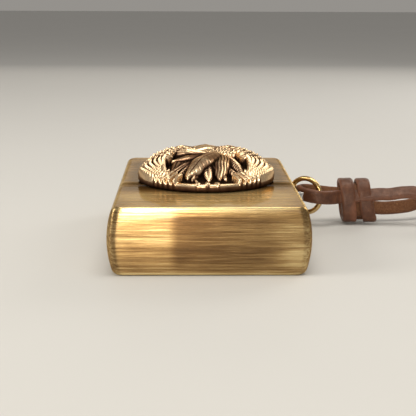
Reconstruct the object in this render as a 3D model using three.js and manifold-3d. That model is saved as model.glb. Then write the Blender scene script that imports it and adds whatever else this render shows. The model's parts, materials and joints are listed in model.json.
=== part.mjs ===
// Windproof flip-lid petrol lighter with a round relief medallion and a leather wrist lanyard.
// Millimetres. The lighter lies on its back: +Z points up out of the front face, +Y points to the
// base end, the lid end faces -Y and the hinge is on the +X side. The origin is the centre of the
// back face, on the surface that the lighter lies on.
import * as THREE from "three";
import { mergeVertices } from "three/addons/utils/BufferGeometryUtils.js";
import Module from "manifold-3d";

const wasm = await Module();
wasm.setup();

// ---------------------------------------------------------------- driving dimensions
const BODY = { length: 57, thickness: 13, halfWidth: 19.25, cornerHalfWidth: 18.1 };
const WALL = 0.6;                 // brass sheet of the case and lid
const EDGE_ROUND = 1.4;           // rounding between a face and a narrow side
const END_ROUND = 0.5;            // rounding between a face and an end
const CORNER_ROUND = 1.8;         // rounding of the corners in plan
const END_CROWN = 0.55;           // how far the lid's end face bulges; the base end is flat
const SEAM_Y = -6;                // where lid and case meet
const SEAM_GAP = 0.15;
const MID_Z = BODY.thickness / 2;
const LID_END_Y = -BODY.length / 2;
const BASE_END_Y = BODY.length / 2;

const HINGE = { x: 18.9, radius: 1.05, bore: 0.52, pin: 0.45, knuckles: 5, length: 9.6, gap: 0.15,
  leafThickness: 0.4, leafLength: 5, clearance: 0.2 };

const INSERT = { sideInset: 1.6, faceInset: 0.9, wall: 0.4, deckY: -7.2, bottomY: 26.9 };
const SCREEN = { left: -6.9, right: 9.5, top: -23.5, bottom: -7.25, width: 8.6, wall: 0.5, hole: 1 };
const WHEEL = { x: -11.6, y: -12.4, radius: 3.9, width: 5.2, teeth: 30, toothDepth: 0.4,
  hub: 1.9, hubWidth: 7, bore: 0.97, pin: 0.9 };
const CAM = { x: 14, y: -10, hub: 1.6, hubWidth: 7, thickness: 2.4, bore: 0.87, pin: 0.8 };
const FLINT = { tubeOuter: 1.9, tubeInner: 1.35, tubeTop: -7.9, tubeBottom: 25.6, radius: 1.25,
  tip: -8.2, length: 5 };
const WICK = { x: 1.5, radius: 1.3, top: -18.5 };
const PAD = { top: 23.7, thickness: 1.8 };

const MEDAL = { x: -0.15, y: -0.8, radius: 14.4, rimWidth: 1.5, rimTop: 14.7, fieldTop: 14.2,
  clearance: 0.15, top: 19.2 };
const RING = { x: 23.05, y: 15, z: 6.47, radius: 3.93, wire: 0.575, turn: -37 * Math.PI / 180 };
const LOOP = { x: 19.97, y: 17.3, z: RING.z, inner: 1.1, strap: 0.4, width: 3.6, foot: 1.6,
  wallGap: 0.03 };
const LACE = { width: 3.1, thickness: 1.25 };
const KNOT = { left: 30.9, right: 39.4, y: 16, z: 5.15, height: 9.9, depth: 7, wrap: 3.8 };
const COIL = { x: 72, y: 15, radius: 17, ringWidth: 4.4, height: 3.3 };
const TOUCH = 0.4;                // gap kept between the lace's solids

// ---------------------------------------------------------------- materials
const finish = (color, roughness, metalness) =>
  new THREE.MeshStandardMaterial({ color, roughness, metalness });
const antiqueBrass = finish(0xb08d4c, 0.35, 1);
const bronze = finish(0x8a6248, 0.4, 1);
const nickel = finish(0xb9b8b4, 0.3, 1);
const steel = finish(0xa9abad, 0.35, 1);
const darkSteel = finish(0x4c4a48, 0.5, 1);
const plainBrass = finish(0xd0a04a, 0.3, 1);
const leather = finish(0x6b3f30, 0.6, 0);
const cotton = finish(0xe8e4da, 0.95, 0);
const felt = finish(0x8f8a80, 0.95, 0);
const flintGrey = finish(0x3f3d3c, 0.7, 0.6);
const glue = finish(0xc9c2a8, 0.6, 0);

// ---------------------------------------------------------------- solids
const toSolid = (geometry) => {
  const bare = geometry.index ? geometry.clone() : geometry;
  bare.deleteAttribute("normal");
  bare.deleteAttribute("uv");
  const merged = mergeVertices(bare, 1e-4);
  return new wasm.Manifold(new wasm.Mesh({
    numProp: 3,
    vertProperties: new Float32Array(merged.attributes.position.array),
    triVerts: new Uint32Array(merged.index.array),
  }));
};

const toGeometry = (solid) => {
  const mesh = solid.getMesh();
  const geometry = new THREE.BufferGeometry();
  geometry.setAttribute("position", new THREE.BufferAttribute(mesh.vertProperties, 3));
  geometry.setIndex(new THREE.BufferAttribute(mesh.triVerts, 1));
  geometry.computeVertexNormals();
  return geometry;
};

// Extrusion along a world axis. An XY outline goes along Z, an XZ outline along Y and a YZ one along X.
const extrude = (axis, shape, from, to, curveSegments = 8) => {
  const geometry = new THREE.ExtrudeGeometry(shape, { depth: to - from, bevelEnabled: false, curveSegments });
  if (axis === "y") return geometry.rotateX(Math.PI / 2).translate(0, to, 0);
  if (axis === "x") {
    const [x, y, z] = [new THREE.Vector3(1, 0, 0), new THREE.Vector3(0, 1, 0), new THREE.Vector3(0, 0, 1)];
    return geometry.applyMatrix4(new THREE.Matrix4().makeBasis(y, z, x)).translate(from, 0, 0);
  }
  return geometry.translate(0, 0, from);
};

const box = (low, high) => {
  const size = high.map((value, i) => value - low[i]);
  const middle = high.map((value, i) => (value + low[i]) / 2);
  return new THREE.BoxGeometry(...size).translate(...middle);
};

const rodY = (radius, x, y0, y1, z, sides = 24) =>
  new THREE.CylinderGeometry(radius, radius, y1 - y0, sides).translate(x, (y0 + y1) / 2, z);
const rodZ = (radius, x, y, z0, z1, sides = 24) =>
  new THREE.CylinderGeometry(radius, radius, z1 - z0, sides).rotateX(Math.PI / 2)
    .translate(x, y, (z0 + z1) / 2);

const roundedRectangle = (x0, y0, x1, y1, r) => {
  const shape = new THREE.Shape();
  shape.moveTo(x0 + r, y0);
  shape.lineTo(x1 - r, y0);
  shape.absarc(x1 - r, y0 + r, r, -Math.PI / 2, 0);
  shape.lineTo(x1, y1 - r);
  shape.absarc(x1 - r, y1 - r, r, 0, Math.PI / 2);
  shape.lineTo(x0 + r, y1);
  shape.absarc(x0 + r, y1 - r, r, Math.PI / 2, Math.PI);
  shape.lineTo(x0, y0 + r);
  shape.absarc(x0 + r, y0 + r, r, Math.PI, 1.5 * Math.PI);
  return shape;
};

const outline = (points) => new THREE.Shape(points.map(([x, y]) => new THREE.Vector2(x, y)));

const model = new THREE.Group();
const add = (name, geometry, material, parent = model) => {
  const mesh = new THREE.Mesh(geometry, material);
  mesh.name = name;
  parent.add(mesh);
  return mesh;
};

// ---------------------------------------------------------------- body outline
// The narrow sides are arcs that bulge from the corners to the full width at mid-thickness.
const bulge = BODY.halfWidth - BODY.cornerHalfWidth;
const sideRadius = (MID_Z ** 2 + bulge ** 2) / (2 * bulge);
const sideCentreX = BODY.halfWidth - sideRadius;

// Cross-section in XZ, drawn in by sideInset at the narrow sides and faceInset at the faces.
const bodySection = (sideInset, faceInset, edgeRound) => {
  const radius = sideRadius - sideInset;
  const half = MID_Z - faceInset;
  const roundZ = half - edgeRound;
  const roundX = sideCentreX + Math.sqrt((radius - edgeRound) ** 2 - roundZ ** 2);
  const tangent = Math.atan2(roundZ, roundX - sideCentreX);
  const shape = new THREE.Shape();
  shape.moveTo(-roundX, MID_Z - half);
  shape.lineTo(roundX, MID_Z - half);
  shape.absarc(roundX, MID_Z - roundZ, edgeRound, -Math.PI / 2, -tangent);
  shape.absarc(sideCentreX, MID_Z, radius, -tangent, tangent);
  shape.absarc(roundX, MID_Z + roundZ, edgeRound, tangent, Math.PI / 2);
  shape.lineTo(-roundX, MID_Z + half);
  shape.absarc(-roundX, MID_Z + roundZ, edgeRound, Math.PI / 2, Math.PI - tangent);
  shape.absarc(-sideCentreX, MID_Z, radius, Math.PI - tangent, Math.PI + tangent);
  shape.absarc(-roundX, MID_Z - roundZ, edgeRound, Math.PI + tangent, 1.5 * Math.PI);
  return shape;
};

// Side view in YZ: a flat base end, a crowned lid end and a small rounding at each edge.
const bodyProfile = (y0, y1, inset, edgeRound) => {
  const [low, high] = [inset, BODY.thickness - inset];
  const lidEnd = y0 + END_CROWN;
  const shape = new THREE.Shape();
  shape.moveTo(lidEnd + edgeRound, low);
  shape.lineTo(y1 - edgeRound, low);
  shape.quadraticCurveTo(y1, low, y1, low + edgeRound);
  shape.lineTo(y1, high - edgeRound);
  shape.quadraticCurveTo(y1, high, y1 - edgeRound, high);
  shape.lineTo(lidEnd + edgeRound, high);
  shape.quadraticCurveTo(lidEnd, high, lidEnd, high - edgeRound);
  shape.quadraticCurveTo(y0 - END_CROWN, MID_Z, lidEnd, low + edgeRound);
  shape.quadraticCurveTo(lidEnd, low, lidEnd + edgeRound, low);
  return shape;
};

const bodySolid = (inset) => {
  const [y0, y1] = [LID_END_Y + inset, BASE_END_Y - inset];
  const w = BODY.halfWidth - inset;
  const section = toSolid(extrude("y", bodySection(inset, inset, EDGE_ROUND - inset / 2), y0 - 1, y1 + 1, 10));
  const plan = toSolid(extrude("z", roundedRectangle(-w, y0, w, y1, CORNER_ROUND - inset),
    -1, BODY.thickness + 1, 6));
  const profile = toSolid(extrude("x", bodyProfile(y0, y1, inset, END_ROUND - inset / 2), -w - 1, w + 1, 6));
  return section.intersect(plan).intersect(profile);
};

// ---------------------------------------------------------------- case and lid shells
const wholeShell = bodySolid(0).subtract(bodySolid(WALL));
const far = 60;
const aboveSeam = toSolid(box([-far, SEAM_Y + SEAM_GAP / 2, -far], [far, far, far]));
const belowSeam = toSolid(box([-far, -far, -far], [far, SEAM_Y - SEAM_GAP / 2, far]));
const notchReach = HINGE.radius + HINGE.clearance;
const notch = toSolid(box(
  [HINGE.x - 2.45, SEAM_Y - notchReach, MID_Z - HINGE.length / 2 - HINGE.clearance],
  [far, SEAM_Y + notchReach, MID_Z + HINGE.length / 2 + HINGE.clearance]));

add("case_shell", toGeometry(wholeShell.intersect(aboveSeam).subtract(notch)), antiqueBrass);
add("lid_shell", toGeometry(wholeShell.intersect(belowSeam).subtract(notch)), antiqueBrass);

// ---------------------------------------------------------------- hinge
// Each leaf is bent to the inside of the narrow side and carries its share of the five knuckles.
const knuckleLength = (HINGE.length - (HINGE.knuckles - 1) * HINGE.gap) / HINGE.knuckles;
const hingeLow = MID_Z - HINGE.length / 2;

const leafInset = WALL + 0.05;
const leafFar = leafInset + HINGE.leafThickness;

const leafSection = () => {
  const outer = sideRadius - leafInset;
  const inner = sideRadius - leafFar;
  const reach = Math.asin(HINGE.length / 2 / outer);
  const shape = new THREE.Shape();
  shape.absarc(sideCentreX, MID_Z, outer, -reach, reach);
  shape.absarc(sideCentreX, MID_Z, inner, reach, -reach, true);
  return shape;
};
const insideLeaf = toSolid(extrude("y", bodySection(leafFar, WALL, EDGE_ROUND), LID_END_Y, BASE_END_Y));

const hingeLeaf = (side, firstKnuckle) => {
  const span = (...ends) => ends.map((end) => SEAM_Y + side * end).sort((a, b) => a - b);
  let leaf = toSolid(extrude("y", leafSection(), ...span(HINGE.radius - 0.05, HINGE.leafLength)));
  for (let i = firstKnuckle; i < HINGE.knuckles; i += 2) {
    const z0 = hingeLow + i * (knuckleLength + HINGE.gap);
    const z1 = z0 + knuckleLength;
    const [y0, y1] = span(0, notchReach - 0.03);
    const web = toSolid(box([HINGE.x - 2, y0, z0], [HINGE.x - 0.5, y1, z1])).subtract(insideLeaf);
    leaf = leaf.add(toSolid(rodZ(HINGE.radius, HINGE.x, SEAM_Y, z0, z1))).add(web);
  }
  return leaf.subtract(toSolid(rodZ(HINGE.bore, HINGE.x, SEAM_Y, 0, BODY.thickness)));
};

add("hinge_case_leaf", toGeometry(hingeLeaf(1, 0)), nickel);
add("hinge_lid_leaf", toGeometry(hingeLeaf(-1, 1)), nickel);
add("hinge_pin", rodZ(HINGE.pin, 0, 0, -HINGE.length / 2 + 0.1, HINGE.length / 2 - 0.1), nickel)
  .position.set(HINGE.x, SEAM_Y, MID_Z);

// ---------------------------------------------------------------- medallion
// A cast disc with a raised ring, a domed relief in the middle and two lobes that fold over the ring.
const lobe = (x, y, z, rx, ry, rz, turn) => toSolid(new THREE.SphereGeometry(1, 16, 10)
  .scale(rx, ry, rz).rotateZ(turn).translate(MEDAL.x + x, MEDAL.y + y, z));

const medallion = () => {
  const low = BODY.thickness + MEDAL.clearance;
  const rimInner = MEDAL.radius - MEDAL.rimWidth;
  const rimSide = MEDAL.rimTop - MEDAL.rimWidth / 2;
  const profile = [[0, low], [MEDAL.radius - 0.3, low], [MEDAL.radius, low + 0.3]];
  for (let i = 0; i <= 6; i++) {
    const angle = i * Math.PI / 6;
    profile.push([rimInner + MEDAL.rimWidth / 2 * (1 + Math.cos(angle)),
      rimSide + MEDAL.rimWidth / 2 * Math.sin(angle)]);
  }
  profile.push([rimInner, MEDAL.fieldTop], [0, MEDAL.fieldTop]);
  const disc = new THREE.LatheGeometry(profile.map(([r, z]) => new THREE.Vector2(r, z)), 56)
    .rotateX(Math.PI / 2).translate(MEDAL.x, MEDAL.y, 0);
  const relief = MEDAL.fieldTop - 0.6;
  const height = MEDAL.top - relief;
  return toSolid(disc)
    .add(lobe(0, 1, relief, 9.5, 9, height, 0))
    .add(lobe(-8.6, -1.5, relief, 4.6, 10.6, 3.6, 0.25))
    .add(lobe(8.6, -1.5, relief, 4.6, 10.6, 3.6, -0.25))
    .add(lobe(-4, 8.2, relief, 7, 4, 4.2, 0.4))
    .add(lobe(4, 8.2, relief, 7, 4, 4.2, -0.4))
    .intersect(toSolid(rodZ(MEDAL.radius, MEDAL.x, MEDAL.y, low, MEDAL.top, 56)));
};
add("medallion", toGeometry(medallion()), bronze);

// A thin adhesive layer holds it to the case half only, so the lid slides free beneath the overhang.
const glueDisc = toSolid(rodZ(MEDAL.radius - 1.6, MEDAL.x, MEDAL.y, BODY.thickness + 0.02,
  BODY.thickness + MEDAL.clearance - 0.02, 48));
const glueEdge = toSolid(box([-far, SEAM_Y + 0.8, 0], [far, far, far]));
add("medallion_adhesive", toGeometry(glueDisc.intersect(glueEdge)), glue);

// ---------------------------------------------------------------- burner insert
const insertSection = (inset) => bodySection(INSERT.sideInset + inset, INSERT.faceInset + inset, EDGE_ROUND);
const tank = toSolid(extrude("y", insertSection(0), INSERT.deckY, INSERT.bottomY, 6))
  .subtract(toSolid(extrude("y", insertSection(INSERT.wall), INSERT.deckY + INSERT.wall,
    INSERT.bottomY + 1, 6)))
  .subtract(toSolid(rodY(WICK.radius + 0.4, WICK.x, -far, 0, MID_Z)))
  .subtract(toSolid(rodY(FLINT.tubeOuter + 0.05, WHEEL.x, -far, 0, MID_Z)))
  .subtract(toSolid(box([CAM.x - 2.7, -far, MID_Z - 1.5], [CAM.x + 2.7, 0, MID_Z + 1.5])));
add("insert_shell", toGeometry(tank), steel);

// The windscreen is an oval tube. Its two flat sides run on as ears that hold the wheel and the cam.
const screenTube = (inset, top, bottom) => {
  const half = SCREEN.width / 2 - inset;
  const endX = SCREEN.right - SCREEN.width / 2;
  const [left, corner] = [SCREEN.left + inset, 1 - inset / 2];
  const shape = new THREE.Shape();
  shape.moveTo(left + corner, MID_Z - half);
  shape.lineTo(endX, MID_Z - half);
  shape.absarc(endX, MID_Z, half, -Math.PI / 2, Math.PI / 2);
  shape.lineTo(left + corner, MID_Z + half);
  shape.absarc(left + corner, MID_Z + half - corner, corner, Math.PI / 2, Math.PI);
  shape.lineTo(left, MID_Z - half + corner);
  shape.absarc(left + corner, MID_Z - half + corner, corner, Math.PI, 1.5 * Math.PI);
  return toSolid(extrude("y", shape, top, bottom, 8));
};

const ears = () => {
  const shape = new THREE.Shape();
  shape.moveTo(CAM.x + 2, SCREEN.bottom);
  shape.lineTo(WHEEL.x - 3.2, SCREEN.bottom);
  shape.lineTo(WHEEL.x - 2.6, WHEEL.y);
  shape.absarc(WHEEL.x, WHEEL.y, 2.6, Math.PI, 1.5 * Math.PI);
  shape.lineTo(SCREEN.left + 1.5, SCREEN.bottom - 10);
  shape.lineTo(SCREEN.right - SCREEN.width / 2, SCREEN.bottom - 8);
  shape.lineTo(CAM.x - 1, CAM.y - 2);
  shape.absarc(CAM.x, CAM.y, 2, 1.5 * Math.PI, 2 * Math.PI);
  const [z0, z1] = [MID_Z - SCREEN.width / 2, MID_Z + SCREEN.width / 2];
  return toSolid(extrude("z", shape, z0, z0 + SCREEN.wall))
    .add(toSolid(extrude("z", shape, z1 - SCREEN.wall, z1)));
};

const windscreen = () => {
  let screen = screenTube(0, SCREEN.top, SCREEN.bottom).add(ears())
    .subtract(screenTube(SCREEN.wall, SCREEN.top - 1, SCREEN.bottom + 1));
  const pitch = 3.5;
  for (const [row, offsets] of [[0, [-1, 0, 1]], [1, [-0.5, 0.5]], [2, [-1, 0, 1]]]) {
    for (const offset of offsets) {
      const y = SCREEN.top + 4.2 + row * pitch;
      screen = screen.subtract(toSolid(rodZ(SCREEN.hole, WICK.x + offset * 4, y, -1, far, 10)));
    }
  }
  return screen
    .subtract(toSolid(box([SCREEN.left - 0.2, WHEEL.y - 3.4, MID_Z - 2.4],
      [SCREEN.left + SCREEN.wall + 0.2, WHEEL.y + 2.6, MID_Z + 2.4])))
    .subtract(toSolid(rodZ(WHEEL.pin + 0.03, WHEEL.x, WHEEL.y, -1, far)))
    .subtract(toSolid(rodZ(CAM.pin + 0.03, CAM.x, CAM.y, -1, far)));
};
add("windscreen", toGeometry(windscreen()), steel);

// ---------------------------------------------------------------- flint wheel
const toothedWheel = () => {
  const points = [];
  for (let i = 0; i < WHEEL.teeth; i++) {
    const step = 2 * Math.PI / WHEEL.teeth;
    const root = WHEEL.radius - WHEEL.toothDepth;
    points.push([root * Math.cos(i * step), root * Math.sin(i * step)]);
    points.push([WHEEL.radius * Math.cos((i + 0.7) * step), WHEEL.radius * Math.sin((i + 0.7) * step)]);
  }
  return toSolid(extrude("z", outline(points), -WHEEL.width / 2, WHEEL.width / 2))
    .add(toSolid(rodZ(WHEEL.hub, 0, 0, -WHEEL.hubWidth / 2, WHEEL.hubWidth / 2)))
    .subtract(toSolid(rodZ(WHEEL.bore, 0, 0, -far, far)));
};
add("flint_wheel", toGeometry(toothedWheel()), darkSteel).position.set(WHEEL.x, WHEEL.y, MID_Z);

// A rivet: a shank through both ears and a head on each side.
const rivet = (radius) => {
  const inside = SCREEN.width / 2 + 0.03;
  const profile = [[0, -inside - 0.4], [radius + 0.5, -inside - 0.4], [radius + 0.6, -inside],
    [radius, -inside], [radius, inside], [radius + 0.6, inside], [radius + 0.5, inside + 0.4],
    [0, inside + 0.4]];
  return new THREE.LatheGeometry(profile.map(([r, z]) => new THREE.Vector2(r, z)), 24)
    .rotateX(Math.PI / 2);
};
add("wheel_axle", rivet(WHEEL.pin), steel).position.set(WHEEL.x, WHEEL.y, MID_Z);

// ---------------------------------------------------------------- cam lever and its spring
// The finger leans on the lid's hinge side and the lobe below passes through the deck to the spring.
const camLever = () => {
  const lever = outline([[-1.6, -0.8], [-1, -2.2], [1.4, -6], [2, -6.9], [3.2, -7.1], [3.6, -6.4],
    [2.6, -2.8], [1.9, 0], [1.8, 1.6], [1.2, 2.9], [0, 3.5], [-1.2, 3.1], [-1.7, 1.6]]);
  return toSolid(extrude("z", lever, -CAM.thickness / 2, CAM.thickness / 2))
    .add(toSolid(rodZ(CAM.hub, 0, 0, -CAM.hubWidth / 2, CAM.hubWidth / 2)))
    .subtract(toSolid(rodZ(CAM.bore, 0, 0, -far, far)));
};
add("cam_lever", toGeometry(camLever()), steel).position.set(CAM.x, CAM.y, MID_Z);
add("cam_pin", rivet(CAM.pin), steel).position.set(CAM.x, CAM.y, MID_Z);

const camSpring = () => {
  const [x, t] = [16.2, 0.35];
  const strip = outline([[x, 14], [x, -3.4], [x - 1.2, -5], [x - 4, -5.8], [x - 4, -5.8 + t],
    [x - 1.3, -5 + t], [x - t, -3.4 + t], [x - t, 14]]);
  return extrude("z", strip, MID_Z - 1.5, MID_Z + 1.5);
};
add("cam_spring", camSpring(), steel);

// ---------------------------------------------------------------- flint column
const flintColumn = new THREE.Group();
flintColumn.position.set(WHEEL.x, 0, MID_Z);
model.add(flintColumn);

const tube = () => toSolid(rodY(FLINT.tubeOuter, 0, FLINT.tubeTop, FLINT.tubeBottom, 0))
  .subtract(toSolid(rodY(FLINT.tubeInner, 0, -far, far, 0)));
add("flint_tube", toGeometry(tube()), plainBrass, flintColumn);
add("flint", rodY(FLINT.radius, 0, FLINT.tip, FLINT.tip + FLINT.length, 0, 16), flintGrey, flintColumn);

class Helix extends THREE.Curve {
  constructor(radius, y0, y1, turns) {
    super();
    Object.assign(this, { radius, y0, y1, turns });
  }

  getPoint(t, target = new THREE.Vector3()) {
    const angle = 2 * Math.PI * this.turns * t;
    return target.set(this.radius * Math.cos(angle), this.y0 + (this.y1 - this.y0) * t,
      this.radius * Math.sin(angle));
  }
}

const polygon = (halfWidth, halfHeight, sides) => {
  const points = [];
  for (let i = 0; i < sides; i++) {
    const angle = 2 * Math.PI * (i + 0.5) / sides;
    points.push([halfWidth * Math.cos(angle), halfHeight * Math.sin(angle)]);
  }
  return outline(points);
};

const screwTip = 17.5;
const springTurns = 9;
const flintSpring = new Helix(0.95, FLINT.tip + FLINT.length + 0.4, screwTip - 0.4, springTurns);
add("flint_spring", new THREE.ExtrudeGeometry(polygon(0.22, 0.22, 4),
  { extrudePath: flintSpring, steps: springTurns * 8, bevelEnabled: false }), steel, flintColumn);

const flintScrew = () => {
  const head = 2.6;
  return toSolid(rodY(1.25, 0, screwTip, FLINT.tubeBottom + 0.2, 0))
    .add(toSolid(rodY(head, 0, FLINT.tubeBottom + 0.05, FLINT.tubeBottom + 1.1, 0)))
    .subtract(toSolid(box([-head, FLINT.tubeBottom + 0.6, -0.35], [head, far, 0.35])));
};
add("flint_screw", toGeometry(flintScrew()), plainBrass, flintColumn);

// ---------------------------------------------------------------- wick, packing and felt pad
const wickPath = new THREE.CatmullRomCurve3([[WICK.x, WICK.top], [WICK.x, -12], [WICK.x, -5],
  [WICK.x + 1.5, 1], [WICK.x + 1, 7], [WICK.x - 2, 13], [WICK.x - 1, 19], [WICK.x + 1, 23]]
  .map(([x, y]) => new THREE.Vector3(x, y, MID_Z)));
const wickTube = (radius) => new THREE.ExtrudeGeometry(polygon(radius, radius, 10),
  { extrudePath: wickPath, steps: 24, bevelEnabled: false });
add("wick", wickTube(WICK.radius), cotton);

// Balls of cotton fill the tank on both sides of the wick.
const wickRoom = toSolid(wickTube(WICK.radius + 0.3));
const cottonBalls = [
  { x: -4.2, y: 1, rx: 5.2, ry: 6.6 },
  { x: -4.8, y: 16.2, rx: 4.6, ry: 7.4 },
  { x: 9.2, y: 1.6, rx: 6, ry: 6.4 },
  { x: 8.6, y: 15.9, rx: 6.6, ry: 7.4 },
];
cottonBalls.forEach(({ x, y, rx, ry }, i) => {
  const ball = new THREE.SphereGeometry(1, 14, 8).scale(rx, ry, 4.6).translate(x, y, MID_Z);
  add(`cotton_ball_${i + 1}`, toGeometry(toSolid(ball).subtract(wickRoom)), cotton);
});

const padSection = insertSection(INSERT.wall + 0.2);
const feltPad = toSolid(extrude("y", padSection, PAD.top, PAD.top + PAD.thickness, 6))
  .subtract(toSolid(rodY(FLINT.tubeOuter + 0.1, WHEEL.x, -far, far, MID_Z)));
add("felt_pad", toGeometry(feltPad), felt);

// ---------------------------------------------------------------- lanyard loop, ring and lace
// A strap bridge is soldered to the case's side, and the ring hangs in it.
const strapLoop = () => {
  const [inner, outer] = [LOOP.inner, LOOP.inner + LOOP.strap];
  const back = BODY.halfWidth + LOOP.wallGap;
  const front = back + LOOP.strap;
  const shape = new THREE.Shape();
  shape.moveTo(back, LOOP.y + inner);
  shape.lineTo(back, LOOP.y + outer + LOOP.foot);
  shape.lineTo(front, LOOP.y + outer + LOOP.foot);
  shape.lineTo(front, LOOP.y + outer);
  shape.absarc(LOOP.x, LOOP.y, outer, Math.PI / 2, -Math.PI / 2, true);
  shape.lineTo(front, LOOP.y - outer);
  shape.lineTo(front, LOOP.y - outer - LOOP.foot);
  shape.lineTo(back, LOOP.y - outer - LOOP.foot);
  shape.lineTo(back, LOOP.y - inner);
  shape.absarc(LOOP.x, LOOP.y, inner, -Math.PI / 2, Math.PI / 2);
  return extrude("z", shape, LOOP.z - LOOP.width / 2, LOOP.z + LOOP.width / 2);
};
add("lanyard_loop", strapLoop(), plainBrass);

const ring = add("lanyard_ring", new THREE.TorusGeometry(RING.radius, RING.wire, 8, 30), plainBrass);
ring.rotation.set(Math.PI / 2, 0, RING.turn, "ZXY");
ring.position.set(RING.x, RING.y, RING.z);

const laceTube = (points, steps) => new THREE.ExtrudeGeometry(
  polygon(LACE.width / 2, LACE.thickness / 2, 8), {
    extrudePath: new THREE.CatmullRomCurve3(points.map((p) => new THREE.Vector3(...p)), false, "centripetal"),
    steps, bevelEnabled: false });

// The lace goes out of the knot, through the ring and back into the knot.
const bight = [[KNOT.left - TOUCH, 13.9, 6.3], [29, 12.7, 6.4], [27, 11.5, 6.6], [25.2, 11.2, 6.8],
  [23.4, 11.9, 7], [21.9, 13.3, 7.2], [21.35, 14.6, 7.3], [21.9, 15.8, 7.35], [23.2, 16.6, 7.3],
  [25, 16.7, 7.1], [27, 16.6, 6.9], [29, 16.5, 6.7], [KNOT.left - TOUCH, 16.4, 6.6]];
add("lanyard_bight", laceTube(bight, 26), leather);

// The knot is two wraps of lace round both strands.
const knot = () => {
  const half = KNOT.height / 2;
  const profile = [[KNOT.left, 0]];
  const starts = [KNOT.left, KNOT.right - KNOT.wrap];
  for (const start of starts) {
    profile.push([start, half - 0.7], [start + 0.5, half], [start + KNOT.wrap - 0.5, half],
      [start + KNOT.wrap, half - 0.7]);
  }
  profile.push([KNOT.right, 0]);
  return new THREE.LatheGeometry(profile.map(([x, r]) => new THREE.Vector2(r, x)), 20)
    .rotateZ(-Math.PI / 2).scale(1, KNOT.depth / KNOT.height, 1).translate(0, KNOT.y, KNOT.z);
};
add("lanyard_knot", knot(), leather);

// Two strands leave the knot and lead into the coil that the rest of the lace is wound into.
const strandFront = [[KNOT.right + TOUCH, 13.4, 7], [42, 12.9, 7.1], [45, 12.6, 7.3], [48, 12.2, 7],
  [50.3, 10.7, 5.8], [52.6, 8, 4], [54.3, 5.2, 2.6]];
const strandRear = [[KNOT.right + TOUCH, 17, 3.55], [42, 17.3, 3.5], [45, 17.6, 3.5], [48, 18.3, 3.9],
  [51, 19.7, 4.8], [53.5, 21.3, 5.2], [57, 24.4, 5.2], [60.5, 27, 5.2]];
add("lanyard_strand_front", laceTube(strandFront, 14), leather);
add("lanyard_strand_rear", laceTube(strandRear, 14), leather);

const coilProfile = () => {
  const [inner, outer] = [COIL.radius - COIL.ringWidth / 2, COIL.radius + COIL.ringWidth / 2];
  return [[inner, 0.05], [outer, 0.05], [outer, COIL.height], [inner, COIL.height], [inner, 0.05]];
};
add("lanyard_coil", new THREE.LatheGeometry(coilProfile().map(([r, z]) => new THREE.Vector2(r, z)), 32)
  .rotateX(Math.PI / 2), leather).position.set(COIL.x, COIL.y, 0);

export default model;
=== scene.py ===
"""Looks for the windproof lighter: brushed antique brass, a cast bronze relief and a leather lace."""
import json
import math

import bmesh
import bpy
import numpy as np
from mathutils import Matrix, Vector


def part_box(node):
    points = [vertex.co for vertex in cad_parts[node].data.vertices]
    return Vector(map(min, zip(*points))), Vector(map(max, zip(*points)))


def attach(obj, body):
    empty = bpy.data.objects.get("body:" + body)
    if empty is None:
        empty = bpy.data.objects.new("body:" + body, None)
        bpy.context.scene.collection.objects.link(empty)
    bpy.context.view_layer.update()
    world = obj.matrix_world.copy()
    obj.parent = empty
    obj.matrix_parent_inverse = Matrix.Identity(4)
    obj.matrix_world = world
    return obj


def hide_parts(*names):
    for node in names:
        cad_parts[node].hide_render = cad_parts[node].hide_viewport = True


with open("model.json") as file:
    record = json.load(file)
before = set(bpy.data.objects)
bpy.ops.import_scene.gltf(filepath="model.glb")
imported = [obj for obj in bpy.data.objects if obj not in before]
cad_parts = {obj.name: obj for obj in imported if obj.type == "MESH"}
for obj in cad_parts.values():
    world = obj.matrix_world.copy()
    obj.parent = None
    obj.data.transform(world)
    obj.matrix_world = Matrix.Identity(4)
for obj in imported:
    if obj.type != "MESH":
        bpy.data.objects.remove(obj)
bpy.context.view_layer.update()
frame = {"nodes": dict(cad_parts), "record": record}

MM = 0.001
scene = bpy.context.scene


def box_mm(node):
    low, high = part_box(node)
    return np.array(low) / MM, np.array(high) / MM


# ------------------------------------------------------------------ sizes read from the frame
case_low, case_high = box_mm("case_shell")
lid_low, lid_high = box_mm("lid_shell")
HALF_WIDTH = case_high[0]
THICKNESS = case_high[2]
MID_Z = THICKNESS / 2
BASE_Y = case_high[1]
LID_Y = lid_low[1]
SEAM_Y = (case_low[1] + lid_high[1]) / 2
CORNER_HALF_WIDTH = HALF_WIDTH - 1.15
WALL = 0.6
EDGE_ROUND = 1.4
END_ROUND = 0.5
CORNER_ROUND = 1.8

# ------------------------------------------------------------------ camera at the photograph's angle
CAMERA_AT = Vector((-4.30, -202.41, 51.20)) * MM
CAMERA_YAW = math.radians(1.30)
CAMERA_PITCH = math.radians(12.38)
CAMERA_ROLL = math.radians(0.24)
CAMERA_LENS = 83.88


def make_camera():
    data = bpy.data.cameras.new("camera")
    data.lens = CAMERA_LENS
    data.sensor_width = 36
    data.clip_start = 0.005
    data.clip_end = 20
    camera = bpy.data.objects.new("camera", data)
    scene.collection.objects.link(camera)
    level = math.cos(CAMERA_PITCH)
    forward = Vector((math.sin(CAMERA_YAW) * level, math.cos(CAMERA_YAW) * level, -math.sin(CAMERA_PITCH)))
    right = Vector((math.cos(CAMERA_YAW), -math.sin(CAMERA_YAW), 0))
    up = right.cross(forward)
    right, up = (right * math.cos(CAMERA_ROLL) + up * math.sin(CAMERA_ROLL),
                 up * math.cos(CAMERA_ROLL) - right * math.sin(CAMERA_ROLL))
    axes = Matrix((right, up, -forward)).transposed()
    camera.matrix_world = Matrix.Translation(CAMERA_AT) @ axes.to_4x4()
    scene.camera = camera


make_camera()


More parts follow.
